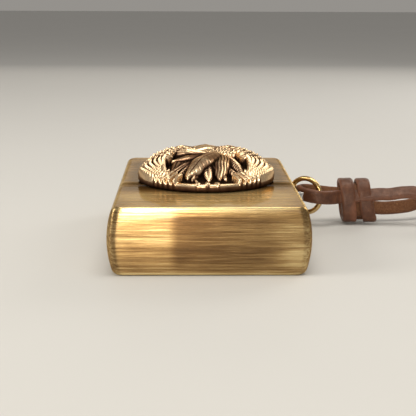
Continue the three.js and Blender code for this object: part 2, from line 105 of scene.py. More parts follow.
# ------------------------------------------------------------------ mesh helpers
def shade_smooth(mesh, sharp_degrees=38):
    """Smooth shading, with the edges that turn more sharply than sharp_degrees kept sharp."""
    work = bmesh.new()
    work.from_mesh(mesh)
    for face in work.faces:
        face.smooth = True
    limit = math.radians(sharp_degrees)
    for edge in work.edges:
        edge.smooth = not (edge.is_manifold and edge.calc_face_angle(0) > limit)
    work.to_mesh(mesh)
    work.free()


def new_object(name, verts, faces, material=None, sharp_degrees=38):
    """An object from points in millimetres, with its faces turned outwards."""
    mesh = bpy.data.meshes.new(name)
    mesh.from_pydata((np.asarray(verts, float) * MM).tolist(), [], faces)
    work = bmesh.new()
    work.from_mesh(mesh)
    bmesh.ops.recalc_face_normals(work, faces=work.faces)
    work.to_mesh(mesh)
    work.free()
    obj = bpy.data.objects.new(name, mesh)
    scene.collection.objects.link(obj)
    if material:
        mesh.materials.append(material)
    shade_smooth(mesh, sharp_degrees)
    return obj


def loft(rings, caps=True):
    """Vertices and faces through rings of points. Each ring closes on itself."""
    rings = np.asarray(rings, float)
    count, size, _ = rings.shape
    verts = rings.reshape(-1, 3)
    faces = []
    for i in range(count - 1):
        for j in range(size):
            k = (j + 1) % size
            faces.append((i * size + j, i * size + k, (i + 1) * size + k, (i + 1) * size + j))
    if caps:
        faces.append(tuple(range(size))[::-1])
        faces.append(tuple((count - 1) * size + j for j in range(size)))
    return verts, faces


def with_modifier(obj, kind, **settings):
    """Adds a modifier and applies it."""
    modifier = obj.modifiers.new(kind, kind)
    for key, value in settings.items():
        setattr(modifier, key, value)
    bpy.context.view_layer.update()
    result = bpy.data.meshes.new_from_object(obj.evaluated_get(bpy.context.evaluated_depsgraph_get()))
    old = obj.data
    obj.modifiers.clear()
    obj.data = result
    bpy.data.meshes.remove(old)
    return obj


def box_object(low, high):
    corners = [(x, y, z) for x in (low[0], high[0]) for y in (low[1], high[1]) for z in (low[2], high[2])]
    faces = [(0, 1, 3, 2), (4, 6, 7, 5), (0, 4, 5, 1), (2, 3, 7, 6), (0, 2, 6, 4), (1, 5, 7, 3)]
    return new_object("cutter", corners, faces)


def cut(obj, cutter):
    with_modifier(obj, "BOOLEAN", operation="DIFFERENCE", solver="EXACT", object=cutter)
    bpy.data.objects.remove(cutter)
    return obj


def place(obj, body, slot, *nodes):
    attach(obj, body)
    if nodes:
        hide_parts(*nodes)
    return obj


def smooth_step(low, high, value):
    t = np.clip((value - low) / (high - low), 0, 1)
    return t * t * (3 - 2 * t)


def set_attribute(mesh, name, values):
    layer = mesh.attributes.new(name, "FLOAT", "POINT")
    layer.data.foreach_set("value", np.asarray(values, np.float32))


# ------------------------------------------------------------------ material helpers
class Shader:
    """A small wrapper for building one material's nodes."""

    def __init__(self, name):
        self.material = bpy.data.materials.new(name)
        self.material.use_nodes = True
        self.tree = self.material.node_tree
        self.bsdf = next(n for n in self.tree.nodes if n.type == "BSDF_PRINCIPLED")
        coordinates = self.tree.nodes.new("ShaderNodeTexCoord")
        self.mm = self.vector("MULTIPLY", coordinates.outputs["Object"], (1000, 1000, 1000))
        self.normal = coordinates.outputs["Normal"]

    def link(self, value, socket):
        if isinstance(value, bpy.types.NodeSocket):
            self.tree.links.new(value, socket)
        else:
            socket.default_value = value

    def vector(self, operation, a, b=(0, 0, 0)):
        node = self.tree.nodes.new("ShaderNodeVectorMath")
        node.operation = operation
        self.link(a, node.inputs[0])
        self.link(b, node.inputs[1])
        return node.outputs["Value"] if operation == "DOT_PRODUCT" else node.outputs[0]

    def math(self, operation, a, b=0.0):
        node = self.tree.nodes.new("ShaderNodeMath")
        node.operation = operation
        self.link(a, node.inputs[0])
        self.link(b, node.inputs[1])
        return node.outputs[0]

    def product(self, *values):
        result = values[0]
        for value in values[1:]:
            result = self.math("MULTIPLY", result, value)
        return result

    def weighted(self, *pairs):
        """The sum of each value times its weight."""
        result = self.math("MULTIPLY", *pairs[0])
        for value, weight in pairs[1:]:
            result = self.math("ADD", result, self.math("MULTIPLY", value, weight))
        return result

    def parts(self, vector):
        node = self.tree.nodes.new("ShaderNodeSeparateXYZ")
        self.link(vector, node.inputs[0])
        return node.outputs

    def noise(self, stretch, detail=4.0, roughness=0.55, distortion=0.0):
        """Noise with the given number of cells per millimetre along X, Y and Z."""
        node = self.tree.nodes.new("ShaderNodeTexNoise")
        self.link(self.vector("MULTIPLY", self.mm, stretch), node.inputs["Vector"])
        node.inputs["Scale"].default_value = 1
        node.inputs["Detail"].default_value = detail
        node.inputs["Roughness"].default_value = roughness
        node.inputs["Distortion"].default_value = distortion
        return node.outputs["Fac"]

    def cells(self, stretch):
        """Distance to the nearest cell's centre, with cells per millimetre along X, Y and Z."""
        node = self.tree.nodes.new("ShaderNodeTexVoronoi")
        self.link(self.vector("MULTIPLY", self.mm, stretch), node.inputs["Vector"])
        node.inputs["Scale"].default_value = 1
        return node.outputs["Distance"]

    def spread(self, value, low, high, to_low=0.0, to_high=1.0):
        """A smooth change from to_low to to_high as the value goes from low to high."""
        node = self.tree.nodes.new("ShaderNodeMapRange")
        node.interpolation_type = "SMOOTHSTEP"
        self.link(value, node.inputs["Value"])
        for key, number in (("From Min", low), ("From Max", high), ("To Min", to_low), ("To Max", to_high)):
            node.inputs[key].default_value = number
        return node.outputs["Result"]

    def ramp(self, value, stops):
        node = self.tree.nodes.new("ShaderNodeValToRGB")
        self.link(value, node.inputs[0])
        elements = node.color_ramp.elements
        while len(elements) < len(stops):
            elements.new(0.5)
        for element, (position, colour) in zip(elements, stops):
            element.position = position
            element.color = (*colour, 1)
        return node.outputs["Color"]

    def mix(self, factor, a, b):
        node = self.tree.nodes.new("ShaderNodeMix")
        node.data_type = "RGBA"
        self.link(factor, node.inputs[0])
        self.link(a if isinstance(a, bpy.types.NodeSocket) else (*a, 1), node.inputs[6])
        self.link(b if isinstance(b, bpy.types.NodeSocket) else (*b, 1), node.inputs[7])
        return node.outputs[2]

    def attribute(self, name):
        node = self.tree.nodes.new("ShaderNodeAttribute")
        node.attribute_name = name
        return node.outputs["Fac"]

    def choose(self, factor, a, b):
        """One of two vectors: a where the factor is 0, b where it is 1."""
        node = self.tree.nodes.new("ShaderNodeMix")
        node.data_type = "VECTOR"
        for value, socket in zip((factor, a, b), (node.inputs[0], node.inputs[4], node.inputs[5])):
            self.link(value, socket)
        return node.outputs[1]

    def swapped(self, vector):
        """The vector with its X and Y exchanged."""
        x, y, z = self.parts(vector)
        node = self.tree.nodes.new("ShaderNodeCombineXYZ")
        for value, socket in zip((y, x, z), node.inputs):
            self.link(value, socket)
        return node.outputs[0]

    def bump(self, height, depth):
        """A bump of the given depth in millimetres."""
        node = self.tree.nodes.new("ShaderNodeBump")
        node.inputs["Strength"].default_value = 1.0
        node.inputs["Distance"].default_value = depth * MM
        self.link(height, node.inputs["Height"])
        self.link(node.outputs["Normal"], self.bsdf.inputs["Normal"])

    def set(self, **values):
        for key, value in values.items():
            self.link(value, self.bsdf.inputs[key.replace("_", " ")])
        return self


def metal(name, dark, light, rough, grain=(2.0, 2.0, 2.0), bump=0.002):
    """A plain metal with fine grain, and colour and roughness that vary with it."""
    shader = Shader(name)
    fine = shader.noise(grain, detail=6)
    broad = shader.noise((0.25, 0.25, 0.25), detail=3)
    both = shader.weighted((fine, 0.6), (broad, 0.4))
    shader.set(Base_Color=shader.ramp(both, [(0.35, dark), (0.65, light)]), Metallic=1.0,
               Roughness=shader.spread(both, 0.3, 0.7, rough + 0.1, rough - 0.05))
    shader.bump(fine, bump)
    return shader.material


def antique_brass():
    """Brass brushed across its faces and along its sides, with brown patina under clear lacquer, painted
    dark reflection on the top face and the lid's end, and edges lightened partly as rubbed wear and partly
    as painted highlight.
    """
    shader = Shader("antique_brass")
    x, y, z = shader.parts(shader.vector("ABSOLUTE", shader.vector("SUBTRACT", shader.mm, (0, 0, MID_Z))))
    across, along, _ = shader.parts(shader.mm)
    # Patina and painted dark reflection: the top face is darker across its middle, round the medallion.
    patina_and_painted_reflection = shader.product(
        shader.math("GREATER_THAN", z, MID_Z - 0.4), shader.spread(x, 14.0, 18.3, 1, 0),
        shader.spread(along, -17, -5, -0.3, 1), shader.spread(along, 18, 28, 1, 0))
    # Painted reflection: the lid's end keeps its left part pale, where the front-left softbox reflects, and
    # is darker to the right of it.
    painted_end_reflection = shader.product(
        shader.spread(along, LID_Y + 0.3, LID_Y + 0.7, 1, 0), shader.spread(z, 3.8, 5.9, 1, 0.1),
        shader.spread(across, -8.0, -5.4), shader.spread(across, 9.0, 17.5, 1, 0.1))
    # Rubbed wear and painted highlight: the top face's rounded edges are lighter.
    wear_and_painted_highlight = shader.product(
        shader.math("MAXIMUM", shader.spread(x, 17.0, 18.2), shader.spread(y, 27.4, 28.4)),
        shader.spread(z, 5.4, 6.4))
    sideways = shader.math("ABSOLUTE", shader.vector("DOT_PRODUCT", shader.normal, (1, 0, 0)))
    narrow_side = shader.math("GREATER_THAN", sideways, 0.75)
    shader.mm = shader.choose(narrow_side, shader.mm, shader.swapped(shader.mm))
    streaks = shader.noise((0.09, 3.8, 3.8), detail=6, roughness=0.75)
    bands = shader.noise((0.04, 0.9, 0.9), detail=3)
    patches = shader.noise((0.06, 0.09, 0.09), detail=2)
    tone = shader.weighted((streaks, 0.52), (bands, 0.22), (patches, 0.26), (patina_and_painted_reflection, -0.20),
                           (painted_end_reflection, -0.106), (wear_and_painted_highlight, 0.16))
    colour = shader.ramp(tone, [(0.24, (0.040, 0.020, 0.008)), (0.40, (0.14, 0.076, 0.028)),
                                (0.50, (0.33, 0.205, 0.082)), (0.60, (0.62, 0.46, 0.215)),
                                (0.78, (0.88, 0.72, 0.41))])
    shader.set(Base_Color=colour, Metallic=1.0, Roughness=shader.spread(streaks, 0.3, 0.7, 0.31, 0.22),
               Anisotropic=0.94, Anisotropic_Rotation=0.25, Coat_Weight=0.25, Coat_Roughness=0.07,
               Coat_IOR=1.5, Specular_Tint=(0.86, 0.66, 0.40, 1))
    brushing = shader.tree.nodes.new("ShaderNodeVectorTransform")
    brushing.vector_type, brushing.convert_from, brushing.convert_to = "VECTOR", "OBJECT", "WORLD"
    shader.link(shader.choose(narrow_side, (1, 0, 0), (0, 1, 0)), brushing.inputs[0])
    shader.link(brushing.outputs[0], shader.bsdf.inputs["Tangent"])
    fine = shader.noise((0.10, 7.0, 7.0), detail=4, roughness=0.6)
    shader.bump(shader.weighted((fine, 0.5), (streaks, 1.0)), 0.010)
    return shader.material


def bronze():
    """Cast bronze: dark patina in the hollows, rubbed bright on the high spots, with painted shade in the
    broad valleys and at the foot of the edge wall, and painted highlight on the big raised shapes.
    """
    shader = Shader("bronze")
    # The 'high' value from the mesh carries the patina, the painted shade and the painted highlight.
    high = shader.attribute("high")
    blotches = shader.noise((0.9, 0.9, 0.9), detail=5)
    level = shader.math("ADD", high, shader.math("MULTIPLY", shader.math("SUBTRACT", blotches, 0.5), 0.35))
    colour = shader.ramp(level, [(0.12, (0.012, 0.006, 0.004)), (0.36, (0.075, 0.037, 0.024)),
                                 (0.62, (0.29, 0.165, 0.095)), (0.96, (0.80, 0.59, 0.37))])
    grain = shader.noise((6, 6, 6), detail=4)
    shader.set(Base_Color=colour, Metallic=0.95, Roughness=shader.spread(level, 0.2, 0.8, 0.60, 0.27),
               Specular_Tint=(0.90, 0.72, 0.52, 1))
    shader.bump(grain, 0.012)
    return shader.material


def leather():
    """Waxed lace: a smooth wrinkled grain face, raw suede on the flesh side and burnished edges."""
    shader = Shader("leather")
    flesh = shader.attribute("flesh")
    edge = shader.attribute("edge")
    mottle = shader.noise((0.55, 0.55, 0.55), detail=6, roughness=0.65)
    fibre = shader.noise((3.0, 3.0, 3.0), detail=6, roughness=0.75, distortion=0.8)
    pores = shader.cells((3.4, 3.4, 3.4))
    creases = shader.noise((1.7, 1.7, 0.7), detail=4, roughness=0.6, distortion=1.5)
    face = shader.ramp(mottle, [(0.25, (0.050, 0.016, 0.007)), (0.5, (0.098, 0.034, 0.014)),
                                (0.75, (0.170, 0.066, 0.030))])
    suede = shader.ramp(fibre, [(0.3, (0.070, 0.025, 0.009)), (0.55, (0.185, 0.076, 0.030)),
                                (0.75, (0.36, 0.17, 0.075))])
    cut_edge = shader.ramp(fibre, [(0.3, (0.12, 0.04, 0.018)), (0.7, (0.27, 0.105, 0.052))])
    colour = shader.mix(flesh, face, suede)
    colour = shader.mix(shader.math("MULTIPLY", edge, 0.75), colour, cut_edge)
    rough = shader.weighted((shader.spread(mottle, 0.3, 0.7, 0.52, 0.40), 1.0), (flesh, 0.38))
    shader.set(Base_Color=colour, Roughness=rough, Specular_IOR_Level=0.40, Sheen_Weight=0.06,
               Sheen_Roughness=0.5)
    shader.bump(shader.weighted((shader.product(fibre, flesh), 2.2), (pores, 0.25), (creases, 0.9)), 0.09)
    return shader.material


def fibrous(name, dark, light, scale=2.0):
    """Loose fibres: cotton, a wick or felt."""
    shader = Shader(name)
    fibre = shader.noise((scale, scale, scale), detail=8, roughness=0.75, distortion=1.2)
    shader.set(Base_Color=shader.ramp(fibre, [(0.3, dark), (0.65, light)]), Roughness=0.95, Sheen_Weight=0.4)
    shader.bump(fibre, 0.25)
    return shader.material


def pale_floor():
    shader = Shader("pale_floor")
    colour = shader.mix(shader.noise((0.01, 0.01, 0.01)), (0.60, 0.60, 0.59), (0.63, 0.63, 0.62))
    shader.set(Base_Color=colour, Roughness=0.62)
    return shader.material


MATERIALS = {
    "antique_brass": antique_brass(),
    "bronze": bronze(),
    "leather": leather(),
    "plain_brass": metal("plain_brass", (0.52, 0.34, 0.13), (0.84, 0.60, 0.29), 0.20),
    "nickel": metal("nickel", (0.46, 0.45, 0.44), (0.78, 0.77, 0.75), 0.18),
    "stainless_steel": metal("stainless_steel", (0.40, 0.41, 0.42), (0.66, 0.67, 0.68), 0.30,
                             (0.15, 3, 3), 0.006),
    "dark_steel": metal("dark_steel", (0.07, 0.065, 0.06), (0.24, 0.23, 0.22), 0.42, bump=0.01),
    "flint_alloy": metal("flint_alloy", (0.06, 0.06, 0.06), (0.17, 0.16, 0.16), 0.6),
    "cotton": fibrous("cotton", (0.62, 0.60, 0.55), (0.86, 0.84, 0.79)),
    "felt": fibrous("felt", (0.30, 0.29, 0.27), (0.50, 0.48, 0.44), 1.2),
    "adhesive": fibrous("adhesive", (0.48, 0.45, 0.36), (0.70, 0.66, 0.54), 0.6),
}


# ------------------------------------------------------------------ the lace
# The same route as the CAD model's, from inside the knot, through the ring and back, round the
# coil and into the knot again. Each point is X, Y, Z and how far the lace's width leans from upright.
LACE_WIDTH = 3.1
LACE_THICKNESS = 1.25
COIL_AT = (72.0, 15.0)
COIL_OUTER = 18.4
COIL_INNER = 15.6
COIL_START = math.radians(-128)
COIL_END = math.radians(110 + 360)
COIL_Z = LACE_WIDTH / 2 + 0.06
HUMP_Z = 5.1

ROUTE_TO_COIL = [
    (36.0, 16.3, 6.3, 20), (33.0, 16.35, 6.4, 25), (30.5, 16.4, 6.6, 35), (29, 16.5, 6.7, 38),
    (27, 16.6, 6.9, 32), (25, 16.7, 7.1, 20), (23.2, 16.6, 7.3, 8), (21.9, 15.8, 7.35, 0),
    (21.35, 14.6, 7.3, 0), (21.9, 13.3, 7.2, 0), (23.4, 11.9, 7, 0), (25.2, 11.2, 6.8, 3),
    (27, 11.5, 6.6, 6), (29, 12.7, 6.4, 10), (30.5, 13.9, 6.3, 14), (33, 13.8, 6.4, 25),
    (36.5, 13.6, 6.7, 40), (39.8, 13.4, 7, 46), (42, 12.9, 7.1, 46), (45, 12.5, 7.6, 44),
    (48, 12.1, 7.5, 38), (50.5, 10.6, 6.0, 24), (52.6, 8, 4, 10), (54.3, 5.2, 2.6, 2),
    (56.6, 2.6, 1.9, 0),
]
ROUTE_FROM_COIL = [
    (62.6, 27.9, 5.2, 0), (60.5, 27, 5.2, 0), (57, 24.4, 5.2, 0), (53.5, 21.3, 5.0, 0), (51, 19.7, 4.2, 6),
    (48, 18.3, 3.4, 14), (45, 17.6, 3.1, 20), (42, 17.3, 2.95, 22), (39.8, 17, 3.1, 22),
    (37.5, 16.9, 3.4, 20), (35, 16.8, 3.7, 20),
]


def coil_turns():
    points = []
    steps = 44
    for i in range(steps + 1):
        t = i / steps
        angle = COIL_START + (COIL_END - COIL_START) * t
        radius = COIL_OUTER + (COIL_INNER - COIL_OUTER) * t
        rise = float(smooth_step(0.90, 1.0, t))
        points.append((COIL_AT[0] + radius * math.cos(angle), COIL_AT[1] + radius * math.sin(angle),
                       COIL_Z + (HUMP_Z - COIL_Z) * rise, 0))
    return points


def smooth_line(points, spacing):
    """Catmull-Rom through the points, sampled evenly. Columns after the third are carried along."""
    points = np.asarray(points, float)
    ends = np.vstack([2 * points[0] - points[1], points, 2 * points[-1] - points[-2]])
    fine = []
    for i in range(1, len(ends) - 2):
        p0, p1, p2, p3 = ends[i - 1:i + 3]
        t = np.linspace(0, 1, 24, endpoint=False)[:, None]
        fine.append(0.5 * (2 * p1 + (p2 - p0) * t + (2 * p0 - 5 * p1 + 4 * p2 - p3) * t ** 2
                           + (3 * p1 - p0 - 3 * p2 + p3) * t ** 3))
    fine = np.vstack(fine + [ends[-2:-1]])
    along = np.r_[0, np.cumsum(np.linalg.norm(np.diff(fine[:, :3], axis=0), axis=1))]
    even = np.linspace(0, along[-1], max(2, int(round(along[-1] / spacing)) + 1))
    return np.stack([np.interp(even, along, fine[:, k]) for k in range(points.shape[1])], 1)


def band_section(width, thickness, per_side=5):
    """A flat section with rounded edges: offsets along the width and the thickness."""
    radius = 0.42 * thickness
    half = np.array([width / 2 - radius, thickness / 2 - radius])
    points = []
    for quarter in range(4):
        sign = ((1, 1), (-1, 1), (-1, -1), (1, -1))[quarter]
        for step in range(3):
            angle = math.pi / 2 * (quarter + step / 2)
            points.append((sign[0] * half[0] + radius * math.cos(angle),
                           sign[1] * half[1] + radius * math.sin(angle)))
        end = ((-1, 1), (-1, -1), (1, -1), (1, 1))[quarter]
        here, there = points[-1], (end[0] * half[0] + radius * math.cos(angle),
                                   end[1] * half[1] + radius * math.sin(angle))
        for step in range(1, per_side if quarter in (0, 2) else 2):
            t = step / (per_side if quarter in (0, 2) else 2)
            points.append((here[0] + (there[0] - here[0]) * t, here[1] + (there[1] - here[1]) * t))
    return np.array(points)


def sweep_band(line, ups, width, thickness, seed, closed=False):
    """Rings of a flat band along a line, with soft unevenness, and its face and edge values."""
    tangents = np.gradient(line, axis=0)
    if closed:
        tangents = np.roll(line, -1, 0) - np.roll(line, 1, 0)
    tangents /= np.linalg.norm(tangents, axis=1)[:, None]
    sides = np.cross(tangents, ups)
    sides /= np.linalg.norm(sides, axis=1)[:, None]
    ups = np.cross(sides, tangents)
    section = band_section(1.0, thickness / width)
    rng = np.random.default_rng(seed)

    def wander(size, amount, smoothing):
        values = rng.normal(0, 1, (len(line), size))
        kernel = np.hanning(min(smoothing, len(line) - 2) + 2)
        kernel /= np.sqrt((kernel ** 2).sum())
        return np.apply_along_axis(lambda v: np.convolve(v, kernel, "same"), 0, values) * amount

    widths = width * (1 + wander(1, 0.012, 15))
    rough = wander(len(section), 0.02, 5)
    across = section[:, 0][None] * widths
    depth = section[:, 1][None] * width * (1 + wander(1, 0.02, 21)) + rough * np.sign(section[:, 1])[None]
    rings = line[:, None] + ups[:, None] * across[..., None] + sides[:, None] * depth[..., None]
    flesh = np.tile(smooth_step(0.1, 0.9, -section[:, 1] / section[:, 1].max()), len(line))
    edge = np.tile(smooth_step(0.80, 1.0, np.abs(section[:, 0]) / section[:, 0].max()), len(line))
    return rings, flesh, edge


def leather_object(name, rings, flesh, edge, closed=False):
    verts, faces = loft(np.concatenate([rings, rings[:1]]) if closed else rings, caps=not closed)
    obj = new_object(name, verts, faces, MATERIALS["leather"], 60)
    if closed:
        with_modifier(obj, "WELD", merge_threshold=0.00001)
        flesh, edge = flesh[:len(obj.data.vertices)], edge[:len(obj.data.vertices)]
    set_attribute(obj.data, "flesh", flesh)
    set_attribute(obj.data, "edge", edge)
    return obj


def leaning(line, degrees):
    """The direction of the lace's width at each point: upright, leaning back to the left of its run."""
    lean = np.radians(degrees)
    return np.stack([np.zeros(len(line)), np.sin(lean), np.cos(lean)], 1)


def make_lace():
    route = smooth_line(ROUTE_TO_COIL + coil_turns() + ROUTE_FROM_COIL, 0.5)
    line = route[:, :3]
    rings, flesh, edge = sweep_band(line, leaning(line, route[:, 3]), LACE_WIDTH, LACE_THICKNESS, 11)
    lace = leather_object("lace", rings, flesh, edge)
    place(lace, "lanyard", "leather", "lanyard_bight", "lanyard_strand_front", "lanyard_strand_rear",
          "lanyard_coil")
    length = np.linalg.norm(np.diff(line, axis=0), axis=1).sum()
    return lace, line, length


# ------------------------------------------------------------------ the knot
knot_low, knot_high = box_mm("lanyard_knot")
KNOT_Y, KNOT_Z = (knot_low[1] + knot_high[1]) / 2, (knot_low[2] + knot_high[2]) / 2


def knot_outline(angle, half_depth, half_height):
    """A squarish oval round the strands, leaning back a little at the top."""
    power = 0.72
    y = math.copysign(abs(math.cos(angle)) ** power, math.cos(angle)) * half_depth
    z = math.copysign(abs(math.sin(angle)) ** power, math.sin(angle)) * half_height
    return y + 0.12 * z, z


def make_wrap(name, middle, width, slant, size, turns, seed, drift=0.0):
    """One turn of lace round the strands, from one angle to another. Its end drifts along the knot."""
    closed = turns[1] - turns[0] >= 360
    angles = np.radians(np.linspace(*turns, 97))[:96 if closed else 97]
    line = []
    for angle in angles:
        y, z = knot_outline(angle, *size)
        along = middle - slant * z / size[1] + drift * float(smooth_step(140, 262, math.degrees(angle)))
        line.append((along, KNOT_Y + y, KNOT_Z + z))
    ups = np.tile([1.0, 0, 0], (len(line), 1))
    rings, flesh, edge = sweep_band(np.array(line), ups, width, 1.2, seed, closed)
    return place(leather_object(name, rings, flesh, edge, closed=closed), "lanyard", "leather")


def make_knot():
    half_height = (knot_high[2] - knot_low[2]) / 2 - 0.6
    half_depth = (knot_high[1] - knot_low[1]) / 2 - 0.6
    size = (half_depth, half_height)
    first = make_wrap("knot_wrap_left", knot_low[0] + 1.85, 3.3, 0.45, size, (0, 360), 21)
    second = make_wrap("knot_wrap_right", knot_low[0] + 5.45, 3.1, 0.2, size, (-74, 258), 22, 1.35)
    rings = []
    for t in np.linspace(0, 1, 24):
        swell = 0.80 + 0.04 * math.sin(math.pi * t)
        x = knot_low[0] + 0.7 + (knot_high[0] - knot_low[0] - 2.6) * t
        rings.append([(x, KNOT_Y + y * swell, KNOT_Z + z * (swell + 0.04)) for y, z in
                      (knot_outline(2 * math.pi * k / 40, *size) for k in range(40))])
    verts, faces = loft(rings)
    core = new_object("knot_core", verts, faces, MATERIALS["leather"], 60)
    set_attribute(core.data, "flesh", np.full(len(core.data.vertices), 0.8))
    set_attribute(core.data, "edge", np.zeros(len(core.data.vertices)))
    place(core, "lanyard", "leather", "lanyard_knot")
    return [first, second, core]


lace, lace_line, lace_length = make_lace()
knot_pieces = make_knot()
print("lace length, mm:", round(float(lace_length), 1))

# ------------------------------------------------------------------ case and lid
SIDE_BULGE = HALF_WIDTH - CORNER_HALF_WIDTH
SIDE_RADIUS = (MID_Z ** 2 + SIDE_BULGE ** 2) / (2 * SIDE_BULGE)
SIDE_CENTRE = HALF_WIDTH - SIDE_RADIUS


def body_ring(y, inset=0.0, shrink_x=0.0, shrink_z=0.0, scale=1.0, crown=None):
    """One ring of the body's section. crown moves its points along Y by their height."""
    radius, half, rounding = SIDE_RADIUS - inset, MID_Z - inset - shrink_z, EDGE_ROUND - inset / 2
    flat_z = half - rounding
    flat_x = SIDE_CENTRE + math.sqrt((radius - rounding) ** 2 - flat_z ** 2)
    tangent = math.atan2(flat_z, flat_x - SIDE_CENTRE)
    shares = (0, 0.15, 0.3, 0.45, 0.6, 0.72, 0.82, 0.9, 0.95, 0.98)
    quarter = [((flat_x - shrink_x) * share, half) for share in shares]
    for i in range(8):
        angle = math.pi / 2 + (tangent - math.pi / 2) * i / 8
        quarter.append((flat_x - shrink_x + rounding * math.cos(angle), flat_z + rounding * math.sin(angle)))
    for i in range(9):
        angle = tangent * (1 - i / 8)
        quarter.append((SIDE_CENTRE - shrink_x + radius * math.cos(angle), radius * math.sin(angle)))
    ring = quarter + [(x, -z) for x, z in quarter[-2:0:-1]] + [(-x, -z) for x, z in quarter]
    ring += [(-x, z) for x, z in quarter[-2:0:-1]]
    lift = crown or (lambda x, z: 0.0)
    return [(x * scale, y + lift(x * scale, z * scale), MID_Z + z * scale) for x, z in ring]


def shell_surface(seam, end, inset, crown_height):
    """Rings from just past the seam to the middle of the end."""
    inward = 1 if end < seam else -1
    corner = CORNER_ROUND - inset
    length = abs(end - seam)

    def crown(weight):
        return lambda x, z: inward * crown_height * weight * abs(z / MID_Z) ** 3
    rings = [body_ring(end + inward * s, inset) for s in np.linspace(length - 0.1, corner + 1, 9)]
    for angle in np.linspace(0, math.pi / 2, 15):
        depth = corner * (1 - math.sin(angle))
        shrink_x = corner * (1 - math.cos(angle))
        edge = END_ROUND - inset / 2
        shrink_z = edge - math.sqrt(max(0, edge ** 2 - max(0, edge - depth) ** 2))
        lift = crown(math.sin(angle) ** 3)
        rings.append(body_ring(end + inward * depth, inset, shrink_x, shrink_z, crown=lift))
    for scale in (0.97, 0.92, 0.84, 0.72, 0.56, 0.38, 0.2, 0.06):
        rings.append(body_ring(end, inset, corner, END_ROUND - inset / 2, scale, crown(1)))
    return rings


def make_shell(name, body, seam, end, crown_height):
    """A drawn brass cup, open at the seam, with a fine rounded lip."""
    inward = 1 if end > seam else -1
    lip = 0.1
    outer = shell_surface(seam, end, 0.0, crown_height)[::-1]
    inner = shell_surface(seam, end - inward * WALL, WALL, crown_height)
    inner[0] = body_ring(seam + inward * lip, WALL)
    outer[-1] = body_ring(seam + inward * lip, 0.0)
    eased = seam + inward * lip * 0.3
    rims = [body_ring(eased, lip * 0.3), body_ring(seam, lip), body_ring(seam, WALL - lip),
            body_ring(eased, WALL - lip * 0.3)]
    verts, faces = loft(outer + rims + inner)
    shell = new_object(name, verts, faces, MATERIALS["antique_brass"])
    hinge_low, hinge_high = box_mm("hinge_case_leaf")
    reach = 1.25
    cutter = box_object((HALF_WIDTH - 2.8, SEAM_Y - reach, hinge_low[2] - 0.2),
                        (HALF_WIDTH + 5, SEAM_Y + reach, hinge_high[2] + 0.2))
    cut(shell, cutter)
    shade_smooth(shell.data, 30)
    return place(shell, body, "antique_brass", name.replace("_brass", "_shell"))


make_shell("case_brass", "case", case_low[1], BASE_Y, 0.0)
make_shell("lid_brass", "lid", lid_high[1], LID_Y, 0.55)

# ------------------------------------------------------------------ medallion
medal_low, medal_high = box_mm("medallion")
MEDAL_X, MEDAL_Y = (medal_low[0] + medal_high[0]) / 2, (medal_low[1] + medal_high[1]) / 2
MEDAL_RADIUS = (medal_high[0] - medal_low[0]) / 2
RIM_WIDTH = 1.5
RIM_TOP = medal_low[2] + 1.55
CELL = 0.08
SPAN = MEDAL_RADIUS + 0.8
AXIS = np.arange(-SPAN, SPAN + CELL, CELL)
GRID_X, GRID_Y = np.meshgrid(AXIS, AXIS, indexing="ij")


def blur(values, sigma_mm):
    reach = int(3 * sigma_mm / CELL)
    kernel = np.exp(-0.5 * (np.arange(-reach, reach + 1) * CELL / sigma_mm) ** 2)
    kernel /= kernel.sum()
    for axis in (0, 1):
        padded = np.pad(values, [(reach, reach) if a == axis else (0, 0) for a in (0, 1)], "edge")
        values = np.apply_along_axis(lambda v: np.convolve(v, kernel, "valid"), axis, padded)
    return values


